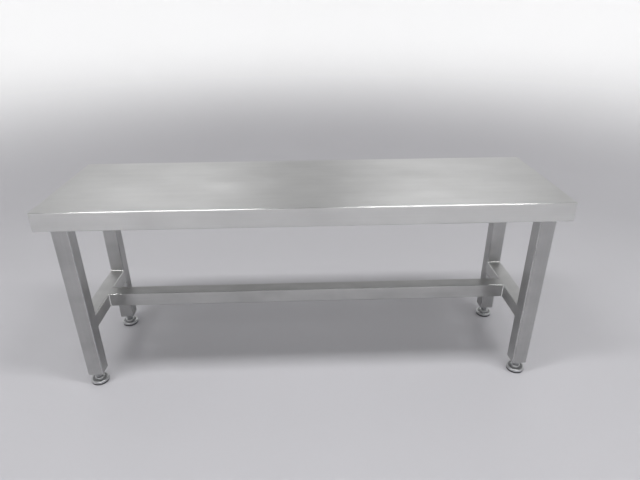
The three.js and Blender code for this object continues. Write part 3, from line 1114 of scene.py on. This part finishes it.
def place_camera(stage):
    """Stands the camera in front of the table, looking down on it. Angles are in degrees."""
    place = Vector((-0.0024, -1.1854, 0.9172))
    pan, tilt, roll = -1.749, -26.098, 0.455
    data = bpy.data.cameras.new("camera")
    data.sensor_width = 36.0
    data.lens = stage.lens
    camera = bpy.data.objects.new("camera", data)
    camera.location = place
    turns = [Matrix.Rotation(math.radians(angle), 4, axis)
             for angle, axis in ((pan, "Z"), (tilt, "X"), (roll, "Y"), (90, "X"))]
    camera.rotation_euler = (turns[0] @ turns[1] @ turns[2] @ turns[3]).to_euler()
    bpy.context.scene.collection.objects.link(camera)
    bpy.context.scene.camera = camera


# ---------------------------------------------------------------------------------------------
# Operators
# ---------------------------------------------------------------------------------------------


class WORKTABLE_OT_finishes(bpy.types.Operator):
    """Make the materials that every piece of the table takes its finish from"""

    bl_idname = "work_table.finishes"
    bl_label = "Finishes"

    def execute(self, context):
        make_finishes(context.scene.work_table.finish)
        return {"FINISHED"}


class WORKTABLE_OT_stage(bpy.types.Operator):
    """Set up the pale floor, the soft light and the camera"""

    bl_idname = "work_table.stage"
    bl_label = "Stage"

    def execute(self, context):
        stage = context.scene.work_table.stage
        floor_and_wall(stage)
        light_the_stage(stage)
        place_camera(stage)
        return {"FINISHED"}


class WORKTABLE_OT_top(bpy.types.Operator):
    """Fold the top from one sheet, with its aprons and lips"""

    bl_idname = "work_table.top"
    bl_label = "Folded top"

    def execute(self, context):
        folded_top(context.scene.work_table.top)
        return {"FINISHED"}


class WORKTABLE_OT_sections(bpy.types.Operator):
    """Fold the stiffeners and the mounting channels under the top"""

    bl_idname = "work_table.sections"
    bl_label = "Stiffeners and channels"

    def execute(self, context):
        sections = context.scene.work_table.sections
        for side in SIDES:
            hat_section(f"stiffener_{side}", 0, sections)
        for end in ENDS:
            hat_section(f"mounting_channel_{end}", 1, sections, bolt_places(end), BOLT_HOLE)
        return {"FINISHED"}


class WORKTABLE_OT_tubes(bpy.types.Operator):
    """Draw the legs, the rails and the stretcher"""

    bl_idname = "work_table.tubes"
    bl_label = "Legs, rails and stretcher"

    def execute(self, context):
        tubes = context.scene.work_table.tubes
        for corner in CORNERS:
            square_tube(f"leg_{corner}", 2, tubes)
        for end in ENDS:
            square_tube(f"low_rail_{end}", 1, tubes)
            square_tube(f"high_rail_{end}", 1, tubes, bolt_places(end), BOLT_HOLE)
        square_tube("stretcher", 0, tubes)
        return {"FINISHED"}


class WORKTABLE_OT_welds(bpy.types.Operator):
    """Lay the welds where the rails and the stretcher meet their neighbours"""

    bl_idname = "work_table.welds"
    bl_label = "Welds"

    def execute(self, context):
        settings = context.scene.work_table
        for end in ENDS:
            for side, sign in zip(SIDES, (-1, 1)):
                weld_ring(f"weld_low_rail_{side}_{end}", f"low_rail_{end}", 1, sign,
                          lambda facing: abs(facing.y), settings.tubes, settings.welds)
                weld_ring(f"weld_high_rail_{side}_{end}", f"high_rail_{end}", 1, sign,
                          lambda facing: max(0.0, -facing.y), settings.tubes, settings.welds)
        for end, sign in zip(ENDS, (-1, 1)):
            weld_ring(f"weld_stretcher_{end}", "stretcher", 0, sign,
                      lambda facing: abs(facing.x), settings.tubes, settings.welds)
        return {"FINISHED"}


class WORKTABLE_OT_fasteners(bpy.types.Operator):
    """Make the bolts and washers that hold the top, and finish the weld nuts"""

    bl_idname = "work_table.fasteners"
    bl_label = "Bolts, washers and nuts"

    def execute(self, context):
        feet = context.scene.work_table.feet
        for corner in CORNERS:
            frame_bolt(corner, feet)
            washer(corner, feet)
            keep_node(f"weld_nut_{corner}", finish("mill_section"))
        return {"FINISHED"}


class WORKTABLE_OT_feet(bpy.types.Operator):
    """Make the levelling feet and the plugs they screw into"""

    bl_idname = "work_table.feet"
    bl_label = "Levelling feet"

    def execute(self, context):
        feet = context.scene.work_table.feet
        for corner in CORNERS:
            leg_plug(corner)
            foot_stud(corner, feet)
            foot_cup(corner, feet)
            foot_pad(corner, feet)
        return {"FINISHED"}


def bolt_places(end):
    """Where the frame bolts of one end stand, as (x, y)."""
    middles = [centre_of(f"frame_bolt_{side}_{end}") for side in SIDES]
    return [(middle.x, middle.y) for middle in middles]


OPERATORS = (
    WORKTABLE_OT_finishes,
    WORKTABLE_OT_stage,
    WORKTABLE_OT_top,
    WORKTABLE_OT_sections,
    WORKTABLE_OT_tubes,
    WORKTABLE_OT_welds,
    WORKTABLE_OT_fasteners,
    WORKTABLE_OT_feet,
)


class WORKTABLE_PT_panel(bpy.types.Panel):
    """Lists the table's pieces and the stage"""

    bl_label = "Work table"
    bl_idname = "WORKTABLE_PT_panel"
    bl_space_type = "VIEW_3D"
    bl_region_type = "UI"
    bl_category = "Work table"

    def draw(self, context):
        for operator in OPERATORS:
            self.layout.operator(operator.bl_idname)


GROUPS = (TopSettings, SectionSettings, TubeSettings, WeldSettings, FootSettings, FinishSettings,
          StageSettings, WorkTableSettings)


def register():
    for item in (*GROUPS, *OPERATORS, WORKTABLE_PT_panel):
        bpy.utils.register_class(item)
    bpy.types.Scene.work_table = PointerProperty(type=WorkTableSettings)


def unregister():
    del bpy.types.Scene.work_table
    for item in reversed((*GROUPS, *OPERATORS, WORKTABLE_PT_panel)):
        bpy.utils.unregister_class(item)


def write_sizes():
    """Brings the scene's placements up to date."""
    bpy.context.view_layer.update()


def main():
    register()
    bpy.ops.work_table.finishes()
    bpy.ops.work_table.stage()
    bpy.ops.work_table.top()
    bpy.ops.work_table.sections()
    bpy.ops.work_table.tubes()
    bpy.ops.work_table.welds()
    bpy.ops.work_table.fasteners()
    bpy.ops.work_table.feet()
    write_sizes()


if __name__ == "__main__":
    main()
